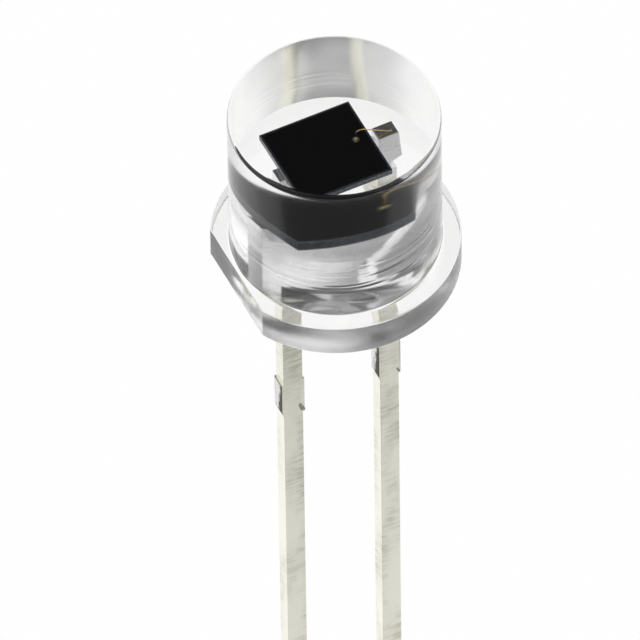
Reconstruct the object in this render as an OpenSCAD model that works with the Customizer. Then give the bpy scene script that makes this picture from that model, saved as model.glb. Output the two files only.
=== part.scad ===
// Clear photodiode with two radial leads: a square silicon die on a stamped lead frame,
// cast in a flat-topped resin body. The origin is the middle of the flange's underside,
// where the part seats on a board. Z is the optical axis, X runs along the lead pitch,
// and the cathode and the flange's flat are on the negative X side.

/* [Casting] */
// Diameter of the barrel
barrel_d = 5; // [4.8:0.05:5.4]
// Height of the barrel above the flange
barrel_h = 4.26; // [4:0.02:5]
// Width of the flange's step around the barrel
flange_w = 0.45; // [0.35:0.01:0.6]
// Thickness of the flange
flange_h = 0.89; // [0.75:0.01:1.1]
// Distance of the flange's flat from the barrel's wall
flat_gap = 0.1; // [0.05:0.01:0.2]
// Radius of the barrel's top edge
rim_r = 0.08; // [0.03:0.01:0.15]
// Radius of the flange's lower edge
foot_r = 0.15; // [0.05:0.01:0.25]
// Width of the flat foot between the dish and the flange's flat
foot_w = 0.2; // [0.12:0.01:0.3]
// Depth of the dished underside, where the resin drew in as it set
dish_h = 0.2; // [0.1:0.01:0.3]

/* [Lead frame] */
// Distance between the leads' centre lines
pitch = 2.54; // [2.4:0.01:2.7]
// Width of each lead
lead_w = 0.5; // [0.4:0.01:0.6]
// Thickness of the stamped strip
strip_t = 0.4; // [0.3:0.01:0.5]
// Length of the cathode lead below the flange
cathode_len = 25.4; // [10:0.1:30]
// How much longer the anode lead is
anode_extra = 1.5; // [0:0.1:3]
// Height of the frame's shoulders above the flange's underside
shoulder_z = 0.63; // [0.5:0.01:0.8]
// Gap between the cathode's plate and the anode's slanted edge
strip_gap = 0.22; // [0.15:0.01:0.3]
// Clearance between the die's edge and the anode's post
post_gap = 0.12; // [0.08:0.01:0.2]
// How far the post stands out past the anode lead's outer edge
post_out = 0.06; // [0.02:0.01:0.15]
// How much further out the post's foot stands than its top
post_rake = 0.08; // [0:0.01:0.15]
// Depth of the post's top below the die's top
post_drop = 0.05; // [0:0.01:0.15]
// Height of the post's straight outer edge
post_h = 1.56; // [1.2:0.01:1.7]
// Depth of the neck's notch that locks the anode in the resin
neck_in = 0.14; // [0.05:0.01:0.2]
// Sideways run of the slanted edges
slant_w = 0.63; // [0.4:0.01:0.75]
// Height of the slanted edges
slant_h = 1.33; // [1:0.01:1.5]
// Height of the plate's straight edge above its slanted one
lip_h = 0.2; // [0.1:0.01:0.3]

/* [Tie-bar stubs] */
// Depth of the stubs' upper end below the flange
stub_z = 3.76; // [2.5:0.02:5]
// Length of the stubs
stub_h = 1.2; // [0.8:0.02:1.6]
// How far the stubs stand out from the lead
stub_out = 0.045; // [0.02:0.005:0.1]
// Length of the stubs' sloping lower end
stub_slope = 0.15; // [0.05:0.01:0.3]

/* [Die seat] */
// Width of the seat that is coined out of the plate's upper edge
seat_w = 1.2; // [0.8:0.05:1.8]
// Thickness of the seat's rim
seat_t = 0.12; // [0.08:0.01:0.2]
// Height of the flare under the seat
flare_h = 0.3; // [0.2:0.01:0.5]
// Thickness of the glue under the die
attach_t = 0.03; // [0.02:0.005:0.06]
// How far the glue stays in from the seat's edge
attach_in = 0.04; // [0.02:0.01:0.1]

/* [Die] */
// Width of the square die
die_w = 2.32; // [2:0.02:2.5]
// Thickness of the die
die_t = 0.28; // [0.2:0.01:0.4]
// Depth of the die's top below the window
die_depth = 2.2; // [1.8:0.02:2.4]
// Distance of the die from the cathode's outer edge
die_in = 0.13; // [0.05:0.01:0.25]
// Distance of the seat's ends from the die's and the plate's edges
seat_in = 0.1; // [0.05:0.01:0.2]

/* [Wire bond] */
// Diameter of the contact pad
pad_d = 0.18; // [0.14:0.01:0.25]
// Thickness of the contact pad
pad_t = 0.01; // [0.005:0.001:0.02]
// Distance of the pad's middle from the die's edge
pad_in = 0.36; // [0.2:0.01:0.5]
// Distance of the pad's middle from the die's centre line
pad_y = 0.04; // [-0.1:0.01:0.1]
// Diameter of the wire
wire_d = 0.03; // [0.02:0.005:0.05]
// Diameter of the wire's kinks at the ends of its bend
kink_d = 0.034; // [0.032:0.001:0.06]
// Diameter of the ball
ball_d = 0.09; // [0.07:0.01:0.12]
// Height of the loop's top above the pad
loop_h = 0.55; // [0.4:0.01:0.7]
// Radius of the loop's bend
loop_r = 0.13; // [0.06:0.01:0.16]
// Distance of the stitch from the post's outer edge
stitch_in = 0.2; // [0.15:0.01:0.3]
// Distance of the stitch from the strip's middle
stitch_y = -0.06; // [-0.12:0.01:0.12]
// Length of the flattened stitch
stitch_l = 0.12; // [0.08:0.01:0.16]
// Thickness of the flattened stitch
stitch_t = 0.02; // [0.012:0.001:0.03]

/* [Hidden] */
$fn = 96;
clear_col = [0.92, 0.93, 0.93, 0.35];
tin_col = [0.80, 0.79, 0.75];
die_col = [0.05, 0.05, 0.06];
glue_col = [0.62, 0.62, 0.62];
gold_col = [0.86, 0.68, 0.30];

top_z = flange_h + barrel_h;
barrel_r = barrel_d / 2;
flange_r = barrel_r + flange_w;
flat_x = -(barrel_r + flat_gap);
dish_rim = -flat_x - foot_w;
dish_r = (dish_rim * dish_rim + dish_h * dish_h) / (2 * dish_h);

edge_x = pitch / 2 + lead_w / 2;
die_x0 = -edge_x + die_in;
die_x1 = die_x0 + die_w;
die_z = top_z - die_depth;
seat_z = die_z - die_t - attach_t;
post_x0 = die_x1 + post_gap;
post_x1 = edge_x + post_out;
post_z = die_z - post_drop;
foot_x1 = post_x1 + post_rake;
neck_x = edge_x - neck_in;
neck_z = post_z - post_h - 0.7 * (foot_x1 - neck_x);
slant_z1 = seat_z - lip_h;
slant_z0 = slant_z1 - slant_h;
slant_x0 = post_x0 - slant_w;
plate_x1 = post_x0 - strip_gap;
seat_x0 = die_x0 + seat_in;
seat_x1 = plate_x1 - seat_in;

pad_x = die_x1 - pad_in;
pad_z = die_z + pad_t;
wire_r = wire_d / 2;
bend_z = pad_z + loop_h - loop_r - wire_r;
span_x = post_x1 - stitch_in - pad_x;
span = sqrt(span_x * span_x + (stitch_y - pad_y) * (stitch_y - pad_y));
turn = atan2(stitch_y - pad_y, span_x);
run_x = span - loop_r;
run_z = bend_z - post_z - stitch_t / 2;
run_d = sqrt(run_x * run_x + run_z * run_z);
dip = atan2(run_z, run_x) + asin(loop_r / run_d);
run_l = sqrt(run_d * run_d - loop_r * loop_r);

// A lead's outline below the frame, down one side with its stub and up the other
function tail(x, reach) =
    let (side = [[lead_w / 2, -stub_z],
                 [lead_w / 2 + stub_out, -stub_z],
                 [lead_w / 2 + stub_out, -stub_z - stub_h + stub_slope],
                 [lead_w / 2, -stub_z - stub_h],
                 [lead_w / 2, -reach]])
    concat([for (p = side) [x + p[0], p[1]]],
           [for (i = [len(side) - 1:-1:0]) [x - side[i][0], side[i][1]]]);

// A piece stamped from the strip, with its outline in X and Z
module stamped(outline) {
    rotate([90, 0, 0])
        linear_extrude(height = strip_t, center = true)
            polygon(outline);
}

// A disc with a rounded edge at the height z
module rounded_edge(r, edge, z) {
    translate([0, 0, z])
        rotate_extrude()
            translate([r - edge, 0])
                circle(r = edge);
}

// The resin's outer form
module resin() {
    translate([0, 0, flange_h / 2])
        cylinder(r = barrel_r, h = top_z - rim_r - flange_h / 2);
    translate([0, 0, flange_h / 2])
        cylinder(r = barrel_r - rim_r, h = top_z - flange_h / 2);
    rounded_edge(barrel_r, rim_r, top_z - rim_r);
    difference() {
        union() {
            translate([0, 0, foot_r])
                cylinder(r = flange_r, h = flange_h - foot_r);
            cylinder(r = flange_r - foot_r, h = flange_h);
            rounded_edge(flange_r, foot_r, foot_r);
        }
        translate([flat_x - flange_r, -flange_r, -1])
            cube([flange_r, 2 * flange_r, flange_h + 2]);
        translate([0, 0, dish_h - dish_r])
            sphere(r = dish_r);
    }
}

// The clear body, cast round everything inside it
module casting() {
    color(clear_col)
        difference() {
            resin();
            cathode_form();
            anode_form();
            die_form();
            die_attach_form();
            bond_wire_form();
        }
}

// The seat and its flare, coined out to both sides of the plate
module seat() {
    translate([seat_x0, 0, 0])
        rotate([90, 0, 90])
            linear_extrude(height = seat_x1 - seat_x0)
                polygon([[-seat_w / 2, seat_z], [-seat_w / 2, seat_z - seat_t],
                         [-strip_t / 2, seat_z - seat_t - flare_h],
                         [strip_t / 2, seat_z - seat_t - flare_h],
                         [seat_w / 2, seat_z - seat_t], [seat_w / 2, seat_z]]);
}

module cathode_form() {
    stamped(concat(tail(-pitch / 2, cathode_len),
                   [[-edge_x, seat_z], [plate_x1, seat_z], [plate_x1, slant_z1],
                    [slant_x0 - strip_gap, slant_z0], [slant_x0 - strip_gap, shoulder_z],
                    [-pitch / 2 + lead_w / 2, shoulder_z]]));
    seat();
}

module cathode_lead() {
    color(tin_col) cathode_form();
}

module anode_form() {
    stamped(concat(tail(pitch / 2, cathode_len + anode_extra),
                   [[pitch / 2 - lead_w / 2, shoulder_z], [slant_x0, shoulder_z],
                    [slant_x0, slant_z0], [post_x0, slant_z1],
                    [post_x0, post_z], [post_x1, post_z], [foot_x1, post_z - post_h],
                    [neck_x, neck_z], [neck_x, shoulder_z + neck_in],
                    [edge_x, shoulder_z]]));
}

module anode_lead() {
    color(tin_col) anode_form();
}

module die_form() {
    translate([die_x0, -die_w / 2, die_z - die_t])
        cube([die_w, die_w, die_t]);
    translate([pad_x, pad_y, die_z - die_t / 2])
        cylinder(d = pad_d, h = pad_t + die_t / 2);
}

module die() {
    color(die_col) die_form();
}

module die_attach_form() {
    translate([seat_x0 + attach_in, -seat_w / 2 + attach_in, seat_z])
        cube([seat_x1 - seat_x0 - 2 * attach_in, seat_w - 2 * attach_in, attach_t]);
}

module die_attach() {
    color(glue_col) die_attach_form();
}

// Ball on the pad, upright neck, bend, straight run down to the post, flattened stitch
module bond_wire_form() {
    difference() {
        translate([pad_x, pad_y, 0])
            rotate([0, 0, turn]) {
                translate([0, 0, pad_z + ball_d / 4])
                    sphere(d = ball_d);
                translate([0, 0, pad_z + ball_d / 4])
                    cylinder(r = wire_r, h = bend_z - pad_z - ball_d / 4);
                translate([loop_r, 0, bend_z])
                    rotate([90, 0, 0])
                        rotate([0, 0, 90 - dip])
                            rotate_extrude(angle = 90 + dip)
                                translate([loop_r, 0])
                                    circle(r = wire_r);
                translate([loop_r + loop_r * sin(dip), 0, bend_z + loop_r * cos(dip)])
                    rotate([0, 90 + dip, 0])
                        cylinder(r = wire_r, h = run_l);
                for (lean = [-90, dip])
                    translate([loop_r + loop_r * sin(lean), 0, bend_z + loop_r * cos(lean)])
                        sphere(d = kink_d);
                translate([span - stitch_l / 4, -wire_d, post_z])
                    cube([stitch_l, 2 * wire_d, stitch_t]);
            }
        translate([pad_x - pad_d, pad_y - pad_d, pad_z - ball_d])
            cube([2 * pad_d, 2 * pad_d, ball_d]);
        translate([post_x0, -strip_t / 2, post_z - ball_d])
            cube([post_x1 - post_x0, strip_t, ball_d]);
    }
}

module bond_wire() {
    color(gold_col) bond_wire_form();
}

casting();
cathode_lead();
anode_lead();
die();
die_attach();
bond_wire();
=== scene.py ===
"""A clear photodiode: resin casting, stamped leads, square die and wire bond, in a plain studio."""

import logging
import math
import random
from dataclasses import dataclass
from enum import Enum
from typing import Iterable, Sequence

import bmesh
import bpy
from mathutils import Matrix, Vector


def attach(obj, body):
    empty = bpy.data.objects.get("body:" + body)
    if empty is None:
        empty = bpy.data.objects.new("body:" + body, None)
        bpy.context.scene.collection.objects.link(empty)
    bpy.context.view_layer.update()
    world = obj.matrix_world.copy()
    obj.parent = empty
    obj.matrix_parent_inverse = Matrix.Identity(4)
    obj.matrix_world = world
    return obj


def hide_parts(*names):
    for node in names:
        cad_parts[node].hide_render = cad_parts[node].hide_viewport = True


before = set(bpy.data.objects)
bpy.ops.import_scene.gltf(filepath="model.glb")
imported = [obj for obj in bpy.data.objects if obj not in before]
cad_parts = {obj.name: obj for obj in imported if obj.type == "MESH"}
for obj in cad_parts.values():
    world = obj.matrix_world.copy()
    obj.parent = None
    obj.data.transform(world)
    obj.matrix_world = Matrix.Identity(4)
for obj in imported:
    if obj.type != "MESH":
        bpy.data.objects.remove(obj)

MM = 0.001
WELD = 1e-7
BODY = "root"

Colour = tuple[float, float, float]
Grain = tuple[float, float, float]
Span = tuple[float, float]
Point = tuple[float, float]
Socket = bpy.types.NodeSocket
Finish = bpy.types.Material
Piece = bpy.types.Object
Mesh = bmesh.types.BMesh
Vert = bmesh.types.BMVert
Edge = bmesh.types.BMEdge
Face = bmesh.types.BMFace

log = logging.getLogger("photodiode")


class Lead(Enum):
    """Which lead is made, by its side of the middle."""

    CATHODE = -1
    ANODE = 1


class NodeSheet:
    """Writes the nodes of one material or world."""

    def __init__(self, owner: bpy.types.ID) -> None:
        """Start with an empty tree.

        Args:
            owner: The material or world whose tree is written.
        """
        owner.use_nodes = True
        self.tree = owner.node_tree
        self.tree.nodes.clear()

    def add(self, kind: str, inputs: dict | None = None, **settings: object) -> bpy.types.Node:
        """Add a node.

        Args:
            kind: The node's type name.
            inputs: Values or output sockets by input name or index.
            settings: Attributes of the node itself.

        Returns:
            The new node.
        """
        node = self.tree.nodes.new(kind)
        for name, value in settings.items():
            setattr(node, name, value)
        for key, value in (inputs or {}).items():
            if isinstance(value, Socket):
                self.tree.links.new(value, node.inputs[key])
            else:
                node.inputs[key].default_value = value
        return node

    def axes(self) -> tuple[Socket, ...]:
        """Give the piece's own X, Y and Z."""
        coords = self.add("ShaderNodeTexCoord")
        split = self.add("ShaderNodeSeparateXYZ", {"Vector": coords.outputs["Object"]})
        return tuple(split.outputs[axis] for axis in "XYZ")

    def noise(self, scale: Grain, detail: float, rough: float = 0.5, turn: float = 0.0) -> Socket:
        """Add a noise texture on the piece's own coordinates.

        Args:
            scale: Features per metre along each axis.
            detail: Octaves.
            rough: Strength of the finer octaves.
            turn: The pattern's turn about Y, in degrees.

        Returns:
            Its grey value.
        """
        coords = self.add("ShaderNodeTexCoord")
        place = self.add(
            "ShaderNodeMapping",
            {"Vector": coords.outputs["Object"], "Scale": scale, "Rotation": (0, math.radians(turn), 0)},
        )
        node = self.add(
            "ShaderNodeTexNoise",
            {"Vector": place.outputs["Vector"], "Scale": 1.0, "Detail": detail, "Roughness": rough},
        )
        return node.outputs["Fac"]

    def spread(self, value: Socket, low: float, high: float, span: Span = (0.0, 1.0)) -> Socket:
        """Map a value softly to a range.

        Args:
            value: The socket that is mapped.
            low: Result at the span's start.
            high: Result at the span's end.
            span: The values between which the result goes over.

        Returns:
            The mapped value.
        """
        node = self.add(
            "ShaderNodeMapRange",
            {"Value": value, "From Min": span[0], "From Max": span[1], "To Min": low, "To Max": high},
            interpolation_type="SMOOTHSTEP",
        )
        return node.outputs["Result"]

    def blend(self, share: Socket, first: Colour, second: Colour) -> Socket:
        """Mix two colours.

        Args:
            share: The second colour's share.
            first: A colour.
            second: Another colour.

        Returns:
            The colour socket.
        """
        node = self.add("ShaderNodeMix", {"Factor": share}, data_type="RGBA")
        node.inputs[6].default_value = (*first, 1.0)
        node.inputs[7].default_value = (*second, 1.0)
        return node.outputs[2]

    def relief(self, height: Socket, strength: float, depth: float) -> Socket:
        """Add a bump.

        Args:
            height: The height socket.
            strength: Share of the bump that shows.
            depth: Depth of the bump in metres.

        Returns:
            The normal socket.
        """
        node = self.add("ShaderNodeBump", {"Height": height, "Strength": strength, "Distance": depth})
        return node.outputs["Normal"]

    def math(self, operation: str, *values: object) -> Socket:
        """Add a math node.

        Args:
            operation: The node's operation.
            values: Numbers or sockets.

        Returns:
            The value socket.
        """
        node = self.add("ShaderNodeMath", dict(enumerate(values)), operation=operation)
        return node.outputs["Value"]

    def along(self, where: Socket, way: Vector) -> Socket:
        """Give how far a vector goes one way.

        Args:
            where: The vector socket.
            way: A direction of length one.

        Returns:
            The value socket.
        """
        node = self.add("ShaderNodeVectorMath", {0: where, 1: way}, operation="DOT_PRODUCT")
        return node.outputs["Value"]

    def surface(self, shader: bpy.types.Node) -> None:
        """Send a shader to a material's surface."""
        self.add("ShaderNodeOutputMaterial", {"Surface": shader.outputs[0]})


@dataclass(frozen=True)
class ClearResin:
    """Clear cast resin with fine turning marks round the barrel and a duller flange edge."""

    tint: Colour = (0.985, 0.985, 0.98)
    ior: float = 1.54
    mark_scale: Grain = (450.0, 450.0, 6000.0)
    mark_depth: float = 0.05 * MM
    mark_strength: float = 0.6
    mark_rise: Span = (1.5 * MM, 2.0 * MM)
    mark_fall: Span = (2.3 * MM, 3.1 * MM)
    mark_front: Span = (-1.2 * MM, 0.6 * MM)
    foot_marks: float = 0.1
    top_marks: float = 0.05
    back_marks: float = 0.12
    haze_scale: float = 900.0
    haze_span: Span = (0.5, 0.9)
    haze_rough: float = 0.03
    edge_r: float = 2.57 * MM
    edge_z: float = 0.86 * MM
    edge_rough: float = 0.25
    wall_r: float = 2.47 * MM
    wall_rough: float = 0.12

    def material(self) -> Finish:
        """Give the material."""
        made = bpy.data.materials.new("clear_resin")
        sheet = NodeSheet(made)
        x, y, z = sheet.axes()
        squares = sheet.math("ADD", sheet.math("MULTIPLY", x, x), sheet.math("MULTIPLY", y, y))
        radius = sheet.math("SQRT", squares)
        barrel = sheet.math("LESS_THAN", radius, self.edge_r)
        share = barrel
        for part in (
            sheet.spread(z, self.foot_marks, 1.0, self.mark_rise),
            sheet.spread(z, 1.0, self.top_marks, self.mark_fall),
            sheet.spread(y, 1.0, self.back_marks, self.mark_front),
        ):
            share = sheet.math("MULTIPLY", share, part)
        marks = sheet.math("MULTIPLY", sheet.noise(self.mark_scale, 1.0), share)
        cloud = sheet.noise((self.haze_scale,) * 3, 5.0, 0.6)
        haze = sheet.spread(cloud, 0.0, self.haze_rough, self.haze_span)
        wall = sheet.math("MULTIPLY", sheet.math("GREATER_THAN", radius, self.wall_r), barrel)
        outside = sheet.math("GREATER_THAN", radius, self.edge_r)
        edge = sheet.math("MULTIPLY", outside, sheet.math("LESS_THAN", z, self.edge_z))
        dull = sheet.math("MULTIPLY_ADD", wall, self.wall_rough, haze)
        shader = sheet.add(
            "ShaderNodeBsdfPrincipled",
            {
                "Base Color": (*self.tint, 1.0),
                "Roughness": sheet.math("MULTIPLY_ADD", edge, self.edge_rough, dull),
                "IOR": self.ior,
                "Transmission Weight": 1.0,
                "Normal": sheet.relief(marks, self.mark_strength, self.mark_depth),
            },
        )
        sheet.surface(shader)
        return made


@dataclass(frozen=True)
class TinnedStrip:
    """Matte tin over stamped strip, with dull patches and scuffs, and streaked silver inside the resin."""

    bright: Colour = (0.96, 0.955, 0.845)
    dull: Colour = (0.71, 0.7, 0.58)
    silver: Colour = (0.95, 0.95, 0.96)
    tarnish: Colour = (0.8, 0.8, 0.82)
    plated_z: float = 0.35 * MM
    patch_scale: Grain = (1500.0, 1500.0, 500.0)
    patch_span: Span = (0.35, 0.7)
    scuff_scale: Grain = (2600.0, 2600.0, 14000.0)
    scuff_turn: float = 32.0
    scuff_span: Span = (0.4, 0.65)
    scuff_least: float = 0.05
    grain_scale: float = 16000.0
    grain_share: float = 0.35
    grain_depth: float = 0.002 * MM
    grain_strength: float = 0.3
    streak_scale: Grain = (500.0, 500.0, 9000.0)
    streak_height: float = 10.0
    rough: Span = (0.22, 0.38)
    rough_span: Span = (0.3, 0.75)

    def material(self) -> Finish:
        """Give the material."""
        made = bpy.data.materials.new("tinned_strip")
        sheet = NodeSheet(made)
        patches = sheet.noise(self.patch_scale, 3.0)
        scuffs = sheet.noise(self.scuff_scale, 2.0, turn=self.scuff_turn)
        grain = sheet.noise((self.grain_scale,) * 3, 3.0, 0.6)
        streaks = sheet.noise(self.streak_scale, 2.0)
        worn = sheet.spread(patches, 0.0, 1.0, self.patch_span)
        wear = sheet.math("MULTIPLY", worn, sheet.spread(scuffs, self.scuff_least, 1.0, self.scuff_span))
        inside = sheet.spread(sheet.axes()[2], 0.0, 1.0, (0.0, self.plated_z))
        outer = sheet.math("MULTIPLY_ADD", grain, self.grain_share, scuffs)
        inner = sheet.math("SUBTRACT", sheet.math("MULTIPLY", streaks, self.streak_height), outer)
        height = sheet.math("MULTIPLY_ADD", inner, inside, outer)
        plated = sheet.add(
            "ShaderNodeMix",
            {
                "Factor": inside,
                6: sheet.blend(wear, self.bright, self.dull),
                7: sheet.blend(wear, self.silver, self.tarnish),
            },
            data_type="RGBA",
        )
        shader = sheet.add(
            "ShaderNodeBsdfPrincipled",
            {
                "Base Color": plated.outputs[2],
                "Metallic": 1.0,
                "Roughness": sheet.spread(patches, *self.rough, self.rough_span),
                "Normal": sheet.relief(height, self.grain_strength, self.grain_depth),
            },
        )
        sheet.surface(shader)
        return made


@dataclass(frozen=True)
class ShearedSteel:
    """The cut end of a tie bar: pale where it was sliced, dark where it then tore, with painted shade
    darkening a band in the crease at the stub's top.
    """

    pale: Colour = (0.84, 0.83, 0.8)
    dark: Colour = (0.10, 0.095, 0.085)
    tear_scale: Grain = (9000.0, 20000.0, 5000.0)
    tear_y: float = -0.1 * MM
    tear_z: float = -4.3 * MM
    tear_lean: float = 0.143
    tear_fade: float = 0.12 * MM
    tear_wander: float = 0.4 * MM
    tear_depth: float = 0.012 * MM
    tear_strength: float = 0.6
    line_scale: Grain = (14000.0, 14000.0, 2500.0)
    line_span: Span = (0.45, 0.75)
    line_dark: float = 0.4
    # Painted shade: a dark band across the top of the torn faces, in the crease where the stub meets the
    # lead.
    crease_shade_z: float = -3.86 * MM
    crease_shade_fade: float = 0.06 * MM
    crease_shade_dark: float = 0.8
    metallic: Span = (1.0, 0.4)
    rough: Span = (0.3, 0.7)

    def material(self) -> Finish:
        """Give the material."""
        made = bpy.data.materials.new("sheared_steel")
        sheet = NodeSheet(made)
        tears = sheet.noise(self.tear_scale, 4.0, 0.65)
        drawn = sheet.noise(self.line_scale, 3.0, 0.6)
        _, y, z = sheet.axes()
        lean = sheet.math("MULTIPLY", sheet.math("SUBTRACT", z, self.tear_z), self.tear_lean)
        ragged = sheet.math("MULTIPLY", sheet.math("SUBTRACT", tears, 0.5), self.tear_wander)
        depth = sheet.math("ADD", sheet.math("ADD", y, lean), ragged)
        deep = sheet.spread(depth, 1.0, 0.0, (self.tear_y, self.tear_y + self.tear_fade))
        lines = sheet.spread(drawn, 0.0, self.line_dark, self.line_span)
        # Painted shade in the stub's top crease, joined with the real tear and drawn lines into one dark
        # mask.
        crease_shade = sheet.spread(z, 0.0, self.crease_shade_dark, (self.crease_shade_z, self.crease_shade_z + self.crease_shade_fade))
        torn = sheet.math("MAXIMUM", sheet.math("MAXIMUM", deep, lines), crease_shade)
        shader = sheet.add(
            "ShaderNodeBsdfPrincipled",
            {
                "Base Color": sheet.blend(torn, self.pale, self.dark),
                "Metallic": sheet.spread(torn, *self.metallic),
                "Roughness": sheet.spread(torn, *self.rough),
                "Normal": sheet.relief(tears, self.tear_strength, self.tear_depth),
            },
        )
        sheet.surface(shader)
        return made


@dataclass(frozen=True)
class CoatedSilicon:
    """Silicon with a faint cloud of colour and fine specks."""

    name: str
    deep: Colour
    cast: Colour
    rough: float
    gloss: float
    rough_vary: float = 0.12
    cloud_scale: float = 1200.0
    speck_scale: float = 22000.0
    speck_depth: float = 0.0005 * MM
    speck_strength: float = 0.04

    def material(self) -> Finish:
        """Give the material."""
        made = bpy.data.materials.new(self.name)
        sheet = NodeSheet(made)
        cloud = sheet.noise((self.cloud_scale,) * 3, 3.0)
        specks = sheet.noise((self.speck_scale,) * 3, 2.0)
        shader = sheet.add(
            "ShaderNodeBsdfPrincipled",
            {
                "Base Color": sheet.blend(cloud, self.deep, self.cast),
                "Roughness": sheet.spread(specks, self.rough, self.rough + self.rough_vary),
                "Specular IOR Level": self.gloss,
                "Normal": sheet.relief(specks, self.speck_strength, self.speck_depth),
            },
        )
        sheet.surface(shader)
        return made


@dataclass(frozen=True)
class FineMetal:
    """A small metal surface with a fine grain."""

    name: str
    first: Colour
    second: Colour
    rough: float
    vary: float
    metallic: float
    grain: float
    grain_depth: float = 0.002 * MM

    def material(self) -> Finish:
        """Give the material."""
        made = bpy.data.materials.new(self.name)
        sheet = NodeSheet(made)
        grain = sheet.noise((self.grain,) * 3, 4.0, 0.6)
        shader = sheet.add(
            "ShaderNodeBsdfPrincipled",
            {
                "Base Color": sheet.blend(grain, self.first, self.second),
                "Metallic": self.metallic,
                "Roughness": sheet.spread(grain, self.rough, self.rough + self.vary),
                "Normal": sheet.relief(grain, 2 * self.vary, self.grain_depth),
            },
        )
        sheet.surface(shader)
        return made


BRIGHT_PLATING = FineMetal(
    "bright_plating", (0.72, 0.72, 0.72), (0.6, 0.59, 0.58), rough=0.03, vary=0.06, metallic=1.0, grain=9000.0
)
TORN_BURR = FineMetal(
    "torn_burr", (0.5, 0.48, 0.44), (0.16, 0.15, 0.14), rough=0.45, vary=0.2, metallic=0.6, grain=12000.0
)
PAD_ALUMINIUM = FineMetal(
    "pad_aluminium", (0.42, 0.42, 0.43), (0.3, 0.3, 0.31), rough=0.06, vary=0.08, metallic=1.0, grain=30000.0
)
BACK_METAL = FineMetal(
    "back_metal", (0.92, 0.92, 0.92), (0.86, 0.86, 0.87), rough=0.15, vary=0.1, metallic=1.0, grain=12000.0
)
SILVER_GLUE = FineMetal(
    "silver_glue", (0.62, 0.62, 0.62), (0.48, 0.48, 0.49), rough=0.5, vary=0.15, metallic=0.3, grain=18000.0
)
DRAWN_GOLD = FineMetal(
    "drawn_gold", (0.7, 0.53, 0.21), (0.54, 0.4, 0.15), rough=0.2, vary=0.15, metallic=1.0, grain=30000.0
)
SAWN_SILICON = CoatedSilicon(
    "sawn_silicon", (0.022, 0.027, 0.038), (0.045, 0.052, 0.07), rough=0.2, gloss=0.5
)
DARK_COAT = CoatedSilicon(
    "coated_silicon", (0.0018, 0.0018, 0.002), (0.003, 0.0028, 0.003), rough=0.3, gloss=0.0
)


def sharp_edges(bm: Mesh, least: float) -> list[Edge]:
    """Find the edges where the surface turns.

    Args:
        bm: The mesh.
        least: The smallest turn that counts, in radians.

    Returns:
        The edges.
    """
    return [e for e in bm.edges if len(e.link_faces) == 2 and e.calc_face_angle(0.0) > least]


def corners(parts: Iterable[Edge | Face]) -> list[Vert]:
    """Give the vertices of edges or faces, each once and in order."""
    return list(dict.fromkeys(v for part in parts for v in part.verts))


def soften(bm: Mesh, edges: Iterable[Edge], width: float, segments: int) -> None:
    """Round edges.

    Args:
        bm: The mesh.
        edges: The edges that are rounded.
        width: The rounding's width in metres.
        segments: Faces across the rounding.
    """
    bmesh.ops.bevel(
        bm, geom=list(edges), offset=width, offset_type="OFFSET", segments=segments, profile=0.5,
        affect="EDGES", material=-1, clamp_overlap=True,
    )


def even_normals(bm: Mesh, limit: float) -> list[Vector]:
    """Give each face corner a normal that leans to the larger faces round it, so that flat faces stay flat.

    Args:
        bm: The mesh.
        limit: The turn in radians above which two faces don't blend.

    Returns:
        The normals, in the order of the faces' corners.
    """
    bm.normal_update()
    least = math.cos(limit)
    weighted = {face: face.normal * face.calc_area() for face in bm.faces}
    normals = []
    for face in bm.faces:
        for corner in face.loops:
            near = [weighted[g] for g in corner.vert.link_faces if g.normal.dot(face.normal) > least]
            normals.append(sum(near, Vector()).normalized())
    return normals


def dressed(bm: Mesh, name: str, finishes: Sequence[Finish], sharp: float = 40.0) -> Piece:
    """Turn a bmesh into a smooth-shaded object with its finishes.

    Args:
        bm: The mesh, which is freed.
        name: The piece's name.
        finishes: The materials, in slot order.
        sharp: The turn in degrees above which an edge stays crisp.

    Returns:
        The object.
    """
    for face in bm.faces:
        face.smooth = True
    normals = even_normals(bm, math.radians(sharp))
    mesh = bpy.data.meshes.new(name)
    bm.to_mesh(mesh)
    bm.free()
    mesh.normals_split_custom_set(normals)
    for finish in finishes:
        mesh.materials.append(finish)
    piece = bpy.data.objects.new(name, mesh)
    bpy.context.scene.collection.objects.link(piece)
    return piece


def seat_piece(piece: Piece, node: str) -> None:
    """Ride a piece on the body in place of a node.

    Args:
        piece: The dressed piece.
        node: The node it stands for.
    """
    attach(piece, BODY)
    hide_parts(node)
    log.info("%s: %d faces for node %s", piece.name, len(piece.data.polygons), node)


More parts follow.
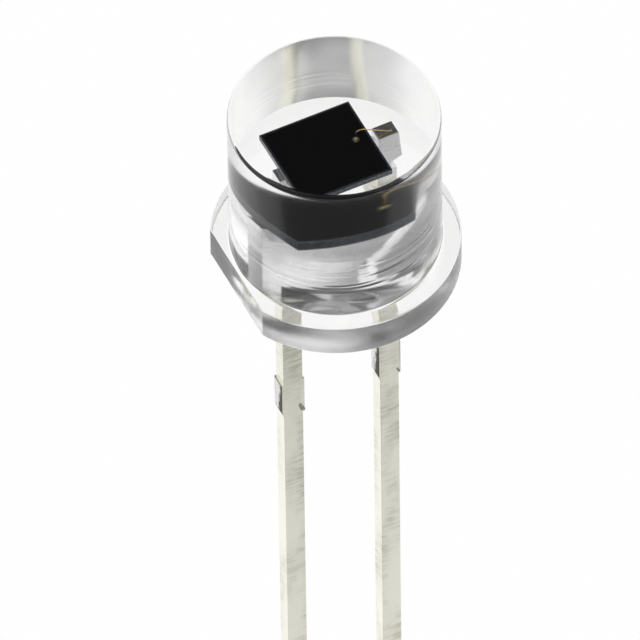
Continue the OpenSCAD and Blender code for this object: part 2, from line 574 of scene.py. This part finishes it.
@dataclass
class Casting:
    """The clear body: barrel, flange with its flat, and the dished underside.

    Each ripple is a height, its swing per mm along X and Y, a shift and a sway.
    """

    barrel_r: float = 2.5 * MM
    flange_r: float = 2.95 * MM
    flange_h: float = 0.89 * MM
    top_z: float = 5.15 * MM
    flat_x: float = -2.6 * MM
    rim_r: float = 0.11 * MM
    foot_r: float = 0.05 * MM
    crisp_r: float = 0.03 * MM
    step_r: float = 0.06 * MM
    dish_rim: float = 2.4 * MM
    dish_h: float = 0.2 * MM
    dish_top: float = 0.22 * MM
    dish_power: float = 2.5
    dish_rings: int = 18
    ripple_h: float = 0.034 * MM
    ripples: tuple[tuple[float, ...], ...] = (
        (1.0, 2.3, 0.0, 0.0, 1.1),
        (0.7, -1.4, 3.1, 0.6, 0.0),
        (0.3, 5.3, 3.9, 0.0, 0.0),
    )
    sway_y: float = 1.7
    lead_x: float = 1.27 * MM
    lead_w: float = 0.5 * MM
    lead_t: float = 0.4 * MM
    wet_h: float = 0.14 * MM
    wet_r: float = 0.3 * MM
    arc_steps: int = 6
    turns: int = 256

    def quarter(self, r: float, z: float, radius: float, start: float, sweep: float) -> list[Point]:
        """Give a quarter turn of the half section.

        Args:
            r: The turn's centre, out from the axis.
            z: The turn's centre, up from the seat.
            radius: The turn's radius.
            start: Where it starts, in degrees.
            sweep: How far it goes, in degrees.

        Returns:
            The points.
        """
        angles = [math.radians(start + sweep * i / self.arc_steps) for i in range(self.arc_steps + 1)]
        return [(r + radius * math.cos(t), z + radius * math.sin(t)) for t in angles]

    def profile(self) -> list[Vector]:
        """Give the half section from the window's middle round to the dish's middle."""
        rim, step, crisp, foot = self.rim_r, self.step_r, self.crisp_r, self.foot_r
        points = [(0.0, self.top_z)]
        points += self.quarter(self.barrel_r - rim, self.top_z - rim, rim, 90.0, -90.0)
        points += self.quarter(self.barrel_r + step, self.flange_h + step, step, 180.0, 90.0)
        points += self.quarter(self.flange_r - crisp, self.flange_h - crisp, crisp, 90.0, -90.0)
        points += self.quarter(self.flange_r - foot, foot, foot, 0.0, -90.0)
        for ring in range(self.dish_rings + 1):
            share = 1 - ring / self.dish_rings
            points.append((self.dish_rim * share, self.dish_h * (1 - share**2) ** self.dish_power))
        return [Vector((r, 0.0, z)) for r, z in points]

    def lathe(self) -> Mesh:
        """Spin the half section into the round body."""
        bm = bmesh.new()
        points = [bm.verts.new(p) for p in self.profile()]
        lines = [bm.edges.new(pair) for pair in zip(points, points[1:])]
        bmesh.ops.spin(
            bm, geom=points + lines, cent=(0, 0, 0), axis=(0, 0, 1),
            angle=math.tau, steps=self.turns, use_merge=True,
        )
        bmesh.ops.remove_doubles(bm, verts=bm.verts, dist=WELD)
        bmesh.ops.recalc_face_normals(bm, faces=bm.faces)
        return bm

    def press_flat(self, bm: Mesh) -> None:
        """Move the flange's edge in to the flat, with its roundings."""
        for v in bm.verts:
            r = math.hypot(v.co.x, v.co.y)
            if r > -self.flat_x and v.co.x < 0:
                cut = max(self.flange_r - self.flat_x * r / v.co.x, 0.0)
                v.co.x *= 1 - cut / r
                v.co.y *= 1 - cut / r

    def ripple(self, bm: Mesh) -> None:
        """Draw the set resin's slow waves into the dish, and pull it down where it wets the leads."""
        for v in bm.verts:
            r = math.hypot(v.co.x, v.co.y)
            if v.co.z >= self.dish_top or r >= self.dish_rim:
                continue
            x, y = v.co.x / MM, v.co.y / MM
            wave = 0.0
            for high, swing_x, swing_y, shift, sway in self.ripples:
                wave += high * math.sin(swing_x * x + swing_y * y + shift + sway * math.sin(self.sway_y * y))
            past_x = max(abs(abs(v.co.x) - self.lead_x) - self.lead_w / 2, 0)
            past_y = max(abs(v.co.y) - self.lead_t / 2, 0)
            wet = math.exp(-((math.hypot(past_x, past_y) / self.wet_r) ** 2))
            v.co.z += (1 - (r / self.dish_rim) ** 2) * (self.ripple_h * wave - self.wet_h * wet)

    def build(self, finish: Finish) -> Piece:
        """Make the casting.

        Args:
            finish: The clear resin.

        Returns:
            The piece.
        """
        bm = self.lathe()
        self.press_flat(bm)
        self.ripple(bm)
        return dressed(bm, "clear_casting", [finish], sharp=20.0)


@dataclass
class LeadFrame:
    """The two stamped leads with their inner shapes."""

    pitch: float = 2.54 * MM
    lead_w: float = 0.5 * MM
    strip_t: float = 0.4 * MM
    cathode_len: float = 25.4 * MM
    anode_len: float = 26.9 * MM
    shoulder_z: float = 0.63 * MM
    strip_gap: float = 0.22 * MM
    post_x0: float = 1.05 * MM
    post_x1: float = 1.58 * MM
    post_z: float = 2.90 * MM
    post_h: float = 1.56 * MM
    post_rake: float = 0.08 * MM
    neck_in: float = 0.14 * MM
    neck_slope: float = 0.7
    slant_w: float = 0.63 * MM
    slant_h: float = 1.33 * MM
    lip_h: float = 0.2 * MM
    stub_z: float = 3.76 * MM
    stub_h: float = 1.2 * MM
    stub_out: float = 0.045 * MM
    stub_slope: float = 0.15 * MM
    stub_least: float = 0.2
    burr: float = 0.08 * MM
    burr_less: float = 0.6
    burr_sunk: float = 0.4
    burr_rough: float = 0.25
    burr_long: float = 2.4
    burr_lean: float = 0.6
    seat_z: float = 2.64 * MM
    seat_x0: float = -1.29 * MM
    seat_w: float = 1.2 * MM
    seat_t: float = 0.12 * MM
    seat_in: float = 0.1 * MM
    flare_h: float = 0.3 * MM
    roll_turn: float = math.radians(25.0)
    roll_r: float = 0.022 * MM
    tear: float = 0.006 * MM
    tear_cuts: int = 7
    tear_seed: int = 7
    facing: float = 0.9
    end_facing: float = 0.95

    def centre(self, lead: Lead) -> float:
        """Give a lead's centre line."""
        return lead.value * self.pitch / 2

    def tail(self, lead: Lead) -> list[Point]:
        """Give a lead's outline below the frame.

        Args:
            lead: The lead.

        Returns:
            Points down one side and up the other.
        """
        reach = self.cathode_len if lead is Lead.CATHODE else self.anode_len
        half, out = self.lead_w / 2, self.lead_w / 2 + self.stub_out
        side = [
            (half, -self.stub_z),
            (out, -self.stub_z),
            (out, -self.stub_z - self.stub_h + self.stub_slope),
            (half, -self.stub_z - self.stub_h),
            (half, -reach),
        ]
        x = self.centre(lead)
        return [(x + u, z) for u, z in side] + [(x - u, z) for u, z in reversed(side)]

    def stamp(self, outline: Sequence[Point]) -> Mesh:
        """Press an outline out of the strip.

        Args:
            outline: Points in X and Z.

        Returns:
            The mesh.
        """
        bm = bmesh.new()
        front = bm.faces.new([bm.verts.new((x, -self.strip_t / 2, z)) for x, z in outline])
        made = bmesh.ops.extrude_face_region(bm, geom=[front])
        moved = [g for g in made["geom"] if isinstance(g, Vert)]
        bmesh.ops.translate(bm, verts=moved, vec=(0, self.strip_t, 0))
        bmesh.ops.recalc_face_normals(bm, faces=bm.faces)
        return bm

    def coin_seat(self, bm: Mesh) -> None:
        """Draw the die's seat out of both sides of the plate's upper edge."""
        foot = self.seat_z - self.seat_t - self.flare_h
        seat_x1 = self.post_x0 - self.strip_gap - self.seat_in
        cuts = [
            ((0, 0, foot), (0, 0, 1)),
            ((0, 0, self.seat_z - self.seat_t), (0, 0, 1)),
            ((self.seat_x0, 0, 0), (1, 0, 0)),
            ((seat_x1, 0, 0), (1, 0, 0)),
        ]
        for point, normal in cuts:
            faces = [f for f in bm.faces if normal[2] or min(v.co.z for v in f.verts) > foot - WELD]
            edges = dict.fromkeys(e for f in faces for e in f.edges)
            bmesh.ops.bisect_plane(
                bm, geom=[*corners(faces), *edges, *faces], dist=WELD, plane_co=point, plane_no=normal
            )
        out = (self.seat_w - self.strip_t) / 2
        for side in (-1, 1):
            patch = []
            for face in bm.faces:
                mid = face.calc_center_median()
                on_side = face.normal.y * side > self.facing
                if on_side and self.seat_x0 < mid.x < seat_x1 and mid.z > foot:
                    patch.append(face)
            made = bmesh.ops.extrude_face_region(bm, geom=patch)
            moved = [g for g in made["geom"] if isinstance(g, Vert)]
            bmesh.ops.delete(bm, geom=patch, context="FACES_ONLY")
            bmesh.ops.delete(bm, geom=[e for e in bm.edges if not e.link_faces], context="EDGES")
            raised = [v for v in moved if v.co.z > foot + WELD]
            bmesh.ops.translate(bm, verts=raised, vec=(0, side * out, 0))
        bmesh.ops.remove_doubles(bm, verts=bm.verts, dist=WELD)
        bmesh.ops.dissolve_degenerate(bm, edges=bm.edges, dist=WELD)
        bmesh.ops.recalc_face_normals(bm, faces=bm.faces)

    def shear_stubs(self, bm: Mesh, lead: Lead) -> None:
        """Mark and roughen the stubs' torn ends, and hang a burr on one of them.

        Args:
            bm: The lead's mesh.
            lead: The lead.
        """
        draw = random.Random(self.tear_seed)
        x = self.centre(lead)
        torn = []
        top, base = 2 * self.roll_r - self.stub_z, -self.stub_z - self.stub_h
        for face in bm.faces:
            out = min(abs(v.co.x - x) for v in face.verts) - self.lead_w / 2
            if out > self.stub_out * self.stub_least and all(top > v.co.z > base for v in face.verts):
                face.material_index = 1
                torn.append(face)
        ends = [f for f in torn if abs(f.normal.x) > self.end_facing]
        edges = dict.fromkeys(e for f in ends for e in f.edges if e.calc_length() > self.strip_t / 2)
        made = bmesh.ops.subdivide_edges(bm, edges=list(edges), cuts=self.tear_cuts, use_grid_fill=True)
        inner = dict.fromkeys(g for g in made["geom_inner"] if isinstance(g, Vert))
        for v in sorted(inner, key=lambda v: [round(c / WELD) for c in v.co]):
            v.co.x -= math.copysign(draw.uniform(0, self.tear), v.co.x - x)
        start = len(bm.faces)
        size = self.burr if lead is Lead.CATHODE else self.burr * self.burr_less
        edge_x = x + self.lead_w / 2 - size * self.burr_sunk
        foot = Vector((edge_x, (size - self.strip_t) / 2, base + self.stub_slope))
        crumb = bmesh.ops.create_icosphere(bm, subdivisions=2, radius=size, matrix=Matrix.Translation(foot))
        for v in crumb["verts"]:
            drop = foot.z - v.co.z
            v.co += Vector([draw.uniform(-1, 1) for _ in "xyz"]) * size * self.burr_rough
            v.co += Vector((drop * self.burr_lean, 0, -drop * (self.burr_long - 1)))
        bm.faces.ensure_lookup_table()
        for face in bm.faces[start:]:
            face.material_index = 3

    def plate_tops(self, bm: Mesh) -> None:
        """Mark the plated top faces."""
        for face in bm.faces:
            if face.normal.z > self.facing and face.calc_center_median().z > self.shoulder_z * 2:
                face.material_index = 2

    def finish_lead(self, bm: Mesh, name: str, lead: Lead, finishes: Sequence[Finish]) -> Piece:
        """Round a lead's edges, tear its stubs and dress it.

        Args:
            bm: The lead's mesh.
            name: The piece's name.
            lead: The lead.
            finishes: Tin, sheared metal, bright plating and the burr's metal.

        Returns:
            The piece.
        """
        self.plate_tops(bm)
        soften(bm, sharp_edges(bm, self.roll_turn), self.roll_r, segments=3)
        self.shear_stubs(bm, lead)
        return dressed(bm, name, finishes, sharp=50.0)

    def cathode(self, finishes: Sequence[Finish]) -> Piece:
        """Make the lead that carries the die.

        Args:
            finishes: Tin, sheared metal, bright plating and the burr's metal.

        Returns:
            The piece.
        """
        half = self.pitch / 2
        edge = half + self.lead_w / 2
        plate_x1 = self.post_x0 - self.strip_gap
        inner_x = self.post_x0 - self.slant_w - self.strip_gap
        slant_z1 = self.seat_z - self.lip_h
        outline = self.tail(Lead.CATHODE) + [
            (-edge, self.seat_z),
            (plate_x1, self.seat_z),
            (plate_x1, slant_z1),
            (inner_x, slant_z1 - self.slant_h),
            (inner_x, self.shoulder_z),
            (-half + self.lead_w / 2, self.shoulder_z),
        ]
        bm = self.stamp(outline)
        self.coin_seat(bm)
        return self.finish_lead(bm, "stamped_cathode", Lead.CATHODE, finishes)

    def anode(self, finishes: Sequence[Finish]) -> Piece:
        """Make the lead with the post that takes the wire.

        Args:
            finishes: Tin, sheared metal, bright plating and the burr's metal.

        Returns:
            The piece.
        """
        half = self.pitch / 2
        edge = half + self.lead_w / 2
        neck = edge - self.neck_in
        slant_x0 = self.post_x0 - self.slant_w
        slant_z1 = self.seat_z - self.lip_h
        post_foot = self.post_z - self.post_h
        foot_x1 = self.post_x1 + self.post_rake
        outline = self.tail(Lead.ANODE) + [
            (half - self.lead_w / 2, self.shoulder_z),
            (slant_x0, self.shoulder_z),
            (slant_x0, slant_z1 - self.slant_h),
            (self.post_x0, slant_z1),
            (self.post_x0, self.post_z),
            (self.post_x1, self.post_z),
            (foot_x1, post_foot),
            (neck, post_foot - self.neck_slope * (foot_x1 - neck)),
            (neck, self.shoulder_z + self.neck_in),
            (edge, self.shoulder_z),
        ]
        bm = self.stamp(outline)
        return self.finish_lead(bm, "stamped_anode", Lead.ANODE, finishes)


@dataclass
class Die:
    """The square chip with its contact pad, and the glue under it."""

    x0: float = -1.39 * MM
    width: float = 2.32 * MM
    top_z: float = 2.95 * MM
    thick: float = 0.28 * MM
    street: float = 0.04 * MM
    street_line: float = 0.004 * MM
    chip_r: float = 0.008 * MM
    pad_x: float = 0.57 * MM
    pad_y: float = 0.04 * MM
    pad_r: float = 0.09 * MM
    pad_t: float = 0.01 * MM
    pad_taper: float = 0.97
    pad_sides: int = 40
    glue_t: float = 0.03 * MM
    glue_x: Span = (-1.25 * MM, 0.69 * MM)
    glue_y: float = 0.56 * MM
    glue_r: float = 0.12 * MM

    def block(self, low: Vector, high: Vector) -> Mesh:
        """Make a block between two corners.

        Args:
            low: The lowest corner.
            high: The highest corner.

        Returns:
            The mesh.
        """
        bm = bmesh.new()
        bmesh.ops.create_cube(bm, size=1.0)
        bmesh.ops.scale(bm, vec=high - low, verts=bm.verts)
        bmesh.ops.translate(bm, vec=(low + high) / 2, verts=bm.verts)
        return bm

    def chip(self, finishes: Sequence[Finish]) -> Piece:
        """Make the chip with its sawn street and its pad.

        Args:
            finishes: Sawn silicon, the coated window, the pad's metal and the back's metal.

        Returns:
            The piece.
        """
        half = self.width / 2
        low = Vector((self.x0, -half, self.top_z - self.thick))
        bm = self.block(low, Vector((self.x0 + self.width, half, self.top_z)))
        soften(bm, bm.edges, self.chip_r, segments=2)
        top = max(bm.faces, key=lambda f: f.calc_center_median().z * 10 + f.calc_area())
        for inset in (self.street, self.street_line):
            bmesh.ops.inset_region(bm, faces=[top], thickness=inset, use_even_offset=True)
        top.material_index = 1
        base = min(bm.faces, key=lambda f: f.calc_center_median().z * 10 - f.calc_area())
        base.material_index = 3
        start = len(bm.faces)
        bmesh.ops.create_cone(
            bm, cap_ends=True, segments=self.pad_sides, depth=2 * self.pad_t,
            radius1=self.pad_r, radius2=self.pad_r * self.pad_taper,
            matrix=Matrix.Translation((self.pad_x, self.pad_y, self.top_z)),
        )
        bm.faces.ensure_lookup_table()
        for face in bm.faces[start:]:
            face.material_index = 2
        return dressed(bm, "coated_die", finishes, sharp=35.0)

    def glue(self, finish: Finish) -> Piece:
        """Make the glue layer with its rounded corners.

        Args:
            finish: The silver-filled glue.

        Returns:
            The piece.
        """
        base = self.top_z - self.thick - self.glue_t
        low = Vector((self.glue_x[0], -self.glue_y, base))
        bm = self.block(low, Vector((self.glue_x[1], self.glue_y, base + self.glue_t)))
        upright = [e for e in bm.edges if abs(e.verts[0].co.z - e.verts[1].co.z) > self.glue_t / 2]
        soften(bm, upright, self.glue_r, segments=6)
        return dressed(bm, "glue_layer", [finish], sharp=35.0)


@dataclass
class WireBond:
    """The bond wire: ball, upright neck, bend, run and flattened stitch.

    Each stitch step is a share of the stitch's length, of the wire's width and of the stitch's thickness.
    """

    pad_x: float = 0.57 * MM
    pad_y: float = 0.04 * MM
    pad_z: float = 2.96 * MM
    wire_r: float = 0.015 * MM
    ball_r: float = 0.045 * MM
    ball_rings: int = 10
    loop_h: float = 0.55 * MM
    loop_r: float = 0.13 * MM
    loop_steps: int = 18
    stitch_x: float = 1.38 * MM
    stitch_y: float = -0.06 * MM
    stitch_l: float = 0.12 * MM
    stitch_t: float = 0.02 * MM
    stitch: tuple[tuple[float, ...], ...] = (
        (0.0, 1.3, 1.3),
        (0.25, 1.8, 1.0),
        (0.55, 2.0, 0.8),
        (0.75, 1.5, 0.3),
    )
    post_z: float = 2.90 * MM
    sides: int = 20

    def ball(self) -> tuple[Mesh, list[Edge]]:
        """Spin the flattened ball.

        Returns:
            The mesh and the ring of edges at the ball's open top.
        """
        bm = bmesh.new()
        lift = self.ball_r / 2
        start, stop = -math.asin(lift / self.ball_r), math.acos(self.wire_r / self.ball_r)
        path = [Vector((0, 0, 0))]
        for ring in range(self.ball_rings + 1):
            t = start + (stop - start) * ring / self.ball_rings
            path.append(Vector((self.ball_r * math.cos(t), 0, lift + self.ball_r * math.sin(t))))
        points = [bm.verts.new(p) for p in path]
        lines = [bm.edges.new(pair) for pair in zip(points, points[1:])]
        bmesh.ops.spin(
            bm, geom=points + lines, cent=(0, 0, 0), axis=(0, 0, 1),
            angle=math.tau, steps=self.sides, use_merge=True,
        )
        bmesh.ops.remove_doubles(bm, verts=bm.verts, dist=WELD / 10)
        bmesh.ops.translate(bm, vec=(0, 0, self.pad_z), verts=bm.verts)
        return bm, [e for e in bm.edges if e.is_boundary]

    def draw(self, bm: Mesh, ring: Sequence[Edge], move: Vector) -> list[Edge]:
        """Pull a ring of edges along.

        Args:
            bm: The mesh.
            ring: The ring.
            move: How far it goes.

        Returns:
            The new ring.
        """
        made = bmesh.ops.extrude_edge_only(bm, edges=list(ring))["geom"]
        bmesh.ops.translate(bm, vec=move, verts=[g for g in made if isinstance(g, Vert)])
        return [g for g in made if isinstance(g, Edge) and g.is_boundary]

    def press(self, bm: Mesh, ring: Sequence[Edge], x: float, wide: float, thick: float) -> list[Edge]:
        """Pull a ring on and press it flat against the post.

        Args:
            bm: The mesh.
            ring: The ring.
            x: Where the new ring stands along the wire.
            wide: The new ring's width.
            thick: The new ring's height above the post.

        Returns:
            The new ring.
        """
        ring = self.draw(bm, ring, Vector())
        verts = corners(ring)
        mid = sum((v.co for v in verts), Vector()) / len(verts)
        reach_y = max(abs(v.co.y - mid.y) for v in verts)
        reach_z = max(abs(v.co.z - mid.z) for v in verts)
        for v in verts:
            side, tall = (v.co.y - mid.y) / reach_y, (v.co.z - mid.z) / reach_z
            v.co = Vector((x, side * wide / 2, self.post_z + thick / 2 * (1 + tall)))
        return ring

    def build(self, finish: Finish) -> Piece:
        """Make the wire.

        Args:
            finish: The gold.

        Returns:
            The piece.
        """
        bm, ring = self.ball()
        bend = Vector((self.loop_r, 0, self.pad_z + self.loop_h - self.loop_r - self.wire_r))
        ring_z = max(v.co.z for v in corners(ring))
        ring = self.draw(bm, ring, Vector((0, 0, bend.z - ring_z)))
        span = math.hypot(self.stitch_x - self.pad_x, self.stitch_y - self.pad_y)
        run_x, run_z = span - bend.x, bend.z - self.post_z - self.stitch_t / 2
        reach = math.hypot(run_x, run_z)
        dip = math.atan2(run_z, run_x) + math.asin(self.loop_r / reach)
        length = math.sqrt(reach**2 - self.loop_r**2)
        made = bmesh.ops.spin(
            bm, geom=corners(ring) + ring, cent=bend, axis=(0, 1, 0),
            angle=math.pi / 2 + dip, steps=self.loop_steps,
        )
        ring = [g for g in made["geom_last"] if isinstance(g, Edge)]
        along = Vector((math.cos(dip), 0, -math.sin(dip)))
        ring = self.draw(bm, ring, along * (length - 2 * self.wire_r))
        for far, wide, thick in self.stitch:
            x = span + far * self.stitch_l
            ring = self.press(bm, ring, x, wide * 2 * self.wire_r, thick * self.stitch_t)
        bmesh.ops.contextual_create(bm, geom=ring)
        bmesh.ops.recalc_face_normals(bm, faces=bm.faces)
        turn = math.atan2(self.stitch_y - self.pad_y, self.stitch_x - self.pad_x)
        bmesh.ops.rotate(bm, verts=bm.verts, cent=(0, 0, 0), matrix=Matrix.Rotation(turn, 3, "Z"))
        bmesh.ops.translate(bm, verts=bm.verts, vec=(self.pad_x, self.pad_y, 0))
        return dressed(bm, "gold_wire", [finish], sharp=60.0)


@dataclass
class Studio:
    """White sweep, soft surroundings and the camera.

    The greys are brightnesses, and the spans say where one goes over to the next.
    """

    elevation: float = math.radians(50.66)
    azimuth: float = math.radians(25.52)
    roll: float = math.radians(0.887)
    distance: float = 400.0 * MM
    pixels: float = 640.0
    pixels_per_m: float = 42580.0
    centre_px: Span = (336.07, 256.75)
    sensor: float = 36.0
    floor_z: float = -26.9 * MM
    floor_half: float = 3.0
    paper: Colour = (0.9, 0.9, 0.9)
    paper_glow: float = 0.92
    near_grey: float = 0.7
    near_span: Span = (-10.0 * MM, 6.0 * MM)
    aside_grey: float = 0.5
    aside_span: Span = (24.0 * MM, 40.0 * MM)
    aside_shift: float = 4.0 * MM
    arc_grey: float = 0.3
    arc_span: Span = (28.8 * MM, 34.5 * MM)
    arc_front: Span = (-20.0 * MM, -12.0 * MM)
    far_span: Span = (50.0 * MM, 65.0 * MM)
    room_grey: float = 0.9
    horizon_grey: float = 0.75
    room_span: Span = (0.05, 0.25)
    front_grey: float = 0.3
    front_span: Span = (0.4, 0.6)
    mirror_grey: float = 0.17
    mirror_span: Span = (0.83, 0.955)
    mirror_lift: float = math.radians(7.0)
    top_grey: float = 0.5
    top_span: Span = (0.35, 0.6)
    side_light: float = 1.25
    side_span: Span = (0.2, 0.6)

    def axes(self) -> tuple[Vector, Vector, Vector]:
        """Give the directions to the right, away and up of the picture's ground."""
        right = Vector((math.cos(self.azimuth), -math.sin(self.azimuth), 0))
        away = Vector((math.sin(self.azimuth), math.cos(self.azimuth), 0))
        return right, away, Vector((0, 0, 1))

    def camera(self) -> None:
        """Place the camera."""
        right, away, up = self.axes()
        sin_e, cos_e = math.sin(self.elevation), math.cos(self.elevation)
        look = away * cos_e - up * sin_e
        tall = away * sin_e + up * cos_e
        across = right * math.cos(self.roll) - tall * math.sin(self.roll)
        upward = right * math.sin(self.roll) + tall * math.cos(self.roll)
        middle = self.pixels / 2
        target = across * ((middle - self.centre_px[0]) / self.pixels_per_m)
        target -= upward * ((middle - self.centre_px[1]) / self.pixels_per_m)
        placed = Matrix((across, upward, -look)).transposed().to_4x4()
        placed.translation = target - look * self.distance
        data = bpy.data.cameras.new("camera")
        data.sensor_width = self.sensor
        data.lens = self.sensor * self.distance / (self.pixels / self.pixels_per_m)
        camera = bpy.data.objects.new("camera", data)
        camera.matrix_world = placed
        bpy.context.scene.collection.objects.link(camera)
        bpy.context.scene.camera = camera

    def floor(self) -> None:
        """Lay the white floor, even white to the camera; mirrors and clear pieces see painted shade on it,
        greyer close in front of the object.
        """
        bm = bmesh.new()
        bmesh.ops.create_grid(bm, x_segments=1, y_segments=1, size=self.floor_half)
        bmesh.ops.translate(bm, verts=bm.verts, vec=(0, 0, self.floor_z))
        made = bpy.data.materials.new("paper")
        sheet = NodeSheet(made)
        right, away, _ = self.axes()
        where = sheet.add("ShaderNodeTexCoord").outputs["Object"]
        depth = sheet.along(where, away)
        aside = sheet.math("ABSOLUTE", sheet.math("ADD", sheet.along(where, right), self.aside_shift))
        reach = sheet.add("ShaderNodeVectorMath", {0: where}, operation="LENGTH").outputs["Value"]
        # Painted shade on the floor: greyer in front of the object, to its sides and in an arc ahead, white
        # again far off.
        near = sheet.spread(depth, self.near_grey, 1.0, self.near_span)
        sides = sheet.spread(aside, 1.0, self.aside_grey, self.aside_span)
        arc = sheet.spread(reach, 1.0, self.arc_grey, self.arc_span)
        edge = sheet.math("MAXIMUM", arc, sheet.spread(depth, 0.0, 1.0, self.arc_front))
        grey = sheet.math("MULTIPLY", sheet.math("MULTIPLY", near, edge), sides)
        level = sheet.math("MAXIMUM", grey, sheet.spread(reach, 0.0, 1.0, self.far_span))
        path = sheet.add("ShaderNodeLightPath").outputs
        seen = sheet.math("MAXIMUM", path["Is Camera Ray"], path["Is Glossy Ray"])
        seen = sheet.math("MAXIMUM", seen, path["Is Transmission Ray"])
        paper = sheet.add("ShaderNodeBsdfDiffuse", {"Color": (*self.paper, 1.0)})
        # Only mirror and transmission rays see the painted shade; the camera sees even white.
        white = sheet.math("MAXIMUM", level, path["Is Camera Ray"])
        glow = sheet.add("ShaderNodeEmission", {"Strength": white})
        share = sheet.math("MULTIPLY", seen, self.paper_glow)
        lit = sheet.add("ShaderNodeMixShader", {0: share, 1: paper.outputs[0], 2: glow.outputs[0]})
        back = sheet.add("ShaderNodeNewGeometry").outputs["Backfacing"]
        below = sheet.math("MULTIPLY", back, path["Is Camera Ray"])
        clear = sheet.add("ShaderNodeBsdfTransparent")
        sheet.surface(sheet.add("ShaderNodeMixShader", {0: below, 1: lit.outputs[0], 2: clear.outputs[0]}))
        dressed(bm, "floor", [made])

    def world(self) -> None:
        """Set the soft surroundings, at least white to the camera and to diffuse light; mirror and
        transmission rays see painted reflections: pale all round, grey at the camera, dark where the window
        mirrors.
        """
        right, away, up = self.axes()
        made = bpy.data.worlds.new("studio")
        bpy.context.scene.world = made
        sheet = NodeSheet(made)
        ray = sheet.add("ShaderNodeTexCoord").outputs["Generated"]
        dark_el = self.elevation + self.mirror_lift
        mirror = away * math.cos(dark_el) + up * math.sin(dark_el)
        high = sheet.along(ray, up)
        room = sheet.spread(high, self.horizon_grey, self.room_grey, self.room_span)
        front = sheet.spread(sheet.along(ray, -away), 1.0, self.front_grey, self.front_span)
        dark = sheet.spread(sheet.along(ray, mirror), 1.0, self.mirror_grey, self.mirror_span)
        aside = sheet.math("ABSOLUTE", sheet.along(ray, right))
        side = sheet.spread(aside, self.top_grey, self.side_light, self.side_span)
        side = sheet.math("MAXIMUM", side, sheet.spread(high, 1.0, 0.0, self.top_span))
        level = sheet.math("MULTIPLY", front, dark)
        level = sheet.math("MULTIPLY", level, sheet.math("MULTIPLY", side, room))
        # Painted reflection: only mirror and transmission rays see these greys; all other rays see at least
        # white.
        path = sheet.add("ShaderNodeLightPath").outputs
        mirrored = sheet.math("MAXIMUM", path["Is Glossy Ray"], path["Is Transmission Ray"])
        level = sheet.math("MAXIMUM", level, sheet.math("SUBTRACT", 1.0, mirrored))
        sky = sheet.add("ShaderNodeBackground", {"Color": (1.0, 1.0, 1.0, 1.0), "Strength": level})
        sheet.add("ShaderNodeOutputWorld", {"Surface": sky.outputs[0]})


def main() -> None:
    """Build the pieces in order and set the studio."""
    logging.basicConfig(level=logging.INFO, format="%(name)s: %(message)s")
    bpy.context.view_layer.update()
    leads, die = LeadFrame(), Die()
    tin = [finish.material() for finish in (TinnedStrip(), ShearedSteel(), BRIGHT_PLATING, TORN_BURR)]
    silicon = [finish.material() for finish in (SAWN_SILICON, DARK_COAT, PAD_ALUMINIUM, BACK_METAL)]
    seat_piece(Casting().build(ClearResin().material()), "casting")
    seat_piece(leads.cathode(tin), "cathode_lead")
    seat_piece(leads.anode(tin), "anode_lead")
    seat_piece(die.chip(silicon), "die")
    seat_piece(die.glue(SILVER_GLUE.material()), "die_attach")
    seat_piece(WireBond().build(DRAWN_GOLD.material()), "bond_wire")
    studio = Studio()
    studio.camera()
    studio.floor()
    studio.world()
    bpy.context.scene.view_settings.view_transform = "Standard"


if __name__ == "__main__":
    main()
